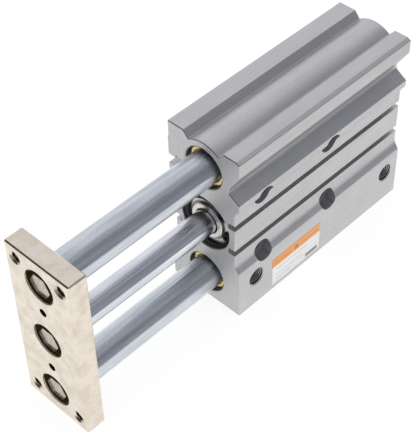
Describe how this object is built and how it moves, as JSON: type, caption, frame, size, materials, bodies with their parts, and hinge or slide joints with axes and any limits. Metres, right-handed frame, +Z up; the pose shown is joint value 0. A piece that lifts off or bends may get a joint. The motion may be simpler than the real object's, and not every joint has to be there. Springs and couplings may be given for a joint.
{
  "type": "guided pneumatic cylinder",
  "caption": "Compact air cylinder with a guide rod on each side of its piston rod, joined by a tooling plate that slides out of a slotted extruded body.",
  "frame": {"origin": "centre of the body's narrow underside, on which the cylinder stands; half way along the body and on the plane of the three rod axes", "axes": "+X from the tooling plate to the rear of the body, along the rods; +Z up, along the row of rods; the supply ports face -Y and the mounting face with the T-slots faces +Y"},
  "size_m": [0.203, 0.0414, 0.093],
  "materials": {
    "anodised_body": "clear anodised extrusion, satin",
    "turned_aluminium": "turned, fine rings",
    "black_rubber": "matte",
    "black_spring_steel": "black phosphated spring steel",
    "zinc_plate": "zinc plated steel",
    "bushing_bronze": "turned bronze",
    "nickel_plate": "nickel plated steel, ground before plating",
    "black_steel": "black oxide",
    "hard_chrome": "hard chrome plated and polished steel",
    "magnet_ring": "bonded magnet",
    "bumper_urethane": "cast urethane"
  },
  "bodies": {
    "housing": {"barrel_body": "anodised_body", "rod_collar": "turned_aluminium", "rear_cover": "turned_aluminium", "rod_seal": "black_rubber", "rod_collar_clip": "black_spring_steel", "rear_cover_clip": "black_spring_steel", "rod_collar_gasket": "black_rubber", "rear_cover_gasket": "black_rubber", "upper_front_bushing": "bushing_bronze", "lower_front_bushing": "bushing_bronze", "upper_rear_bushing": "bushing_bronze", "lower_rear_bushing": "bushing_bronze", "upper_front_bushing_clip": "black_spring_steel", "lower_front_bushing_clip": "black_spring_steel", "upper_rear_bushing_clip": "black_spring_steel", "lower_rear_bushing_clip": "black_spring_steel", "port_plugs": "zinc_plate"},
    "carriage": {"tooling_plate": "nickel_plate", "plate_screws": "black_steel", "upper_guide_rod": "hard_chrome", "lower_guide_rod": "hard_chrome", "piston_rod": "hard_chrome", "piston": "turned_aluminium", "piston_seal": "black_rubber", "piston_magnet": "magnet_ring", "front_bumper": "bumper_urethane", "rear_bumper": "bumper_urethane", "piston_screw": "black_steel"}
  },
  "joints": [
    {"name": "stroke", "type": "slide", "parent": "housing", "child": "carriage", "axis": [1, 0, 0], "range_m": [0, 0.075]}
  ]
}
